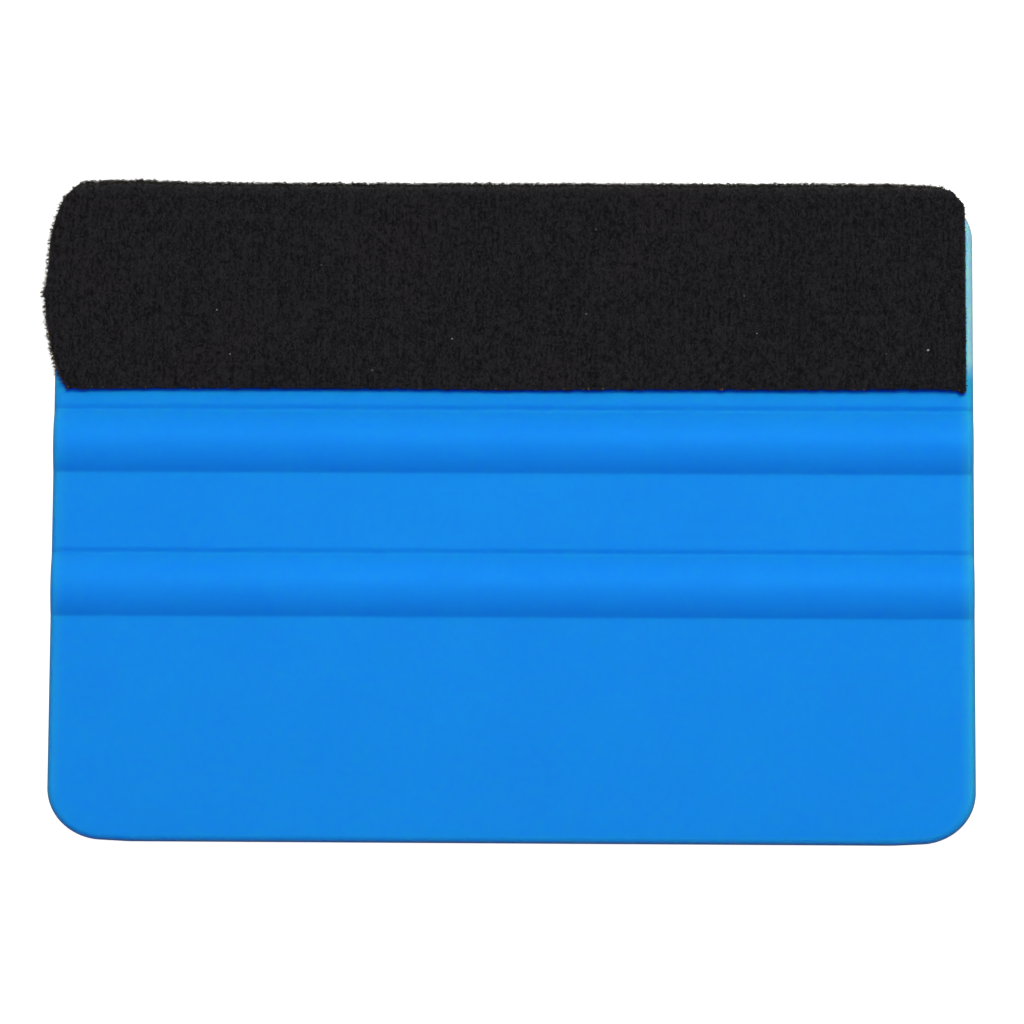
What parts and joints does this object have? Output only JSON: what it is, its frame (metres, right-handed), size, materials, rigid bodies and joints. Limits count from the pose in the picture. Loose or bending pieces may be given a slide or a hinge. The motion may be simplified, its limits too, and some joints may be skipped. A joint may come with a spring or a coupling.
{
  "type": "squeegee applicator",
  "caption": "Flat flexible plastic card with raised grip ribs on both faces and a black felt strip folded over one long edge, for smoothing vinyl film onto a surface.",
  "frame": {"origin": "on the surface that the tool lies on, under the centre of the whole tool's box, with the back face down", "axes": "+X along the long edges to the right, +Y towards the felt edge, +Z out of the front face"},
  "size_m": [0.101, 0.0718, 0.0044],
  "materials": {
    "card_plastic": "satin, slightly waxy polypropylene",
    "adhesive": "thin clear-yellow pressure-sensitive film",
    "felt": "black brushed loop felt with fine ribs along its height"
  },
  "bodies": {
    "root": {"card": "card_plastic", "adhesive_film": "adhesive", "felt_strip": "felt"}
  },
  "joints": []
}
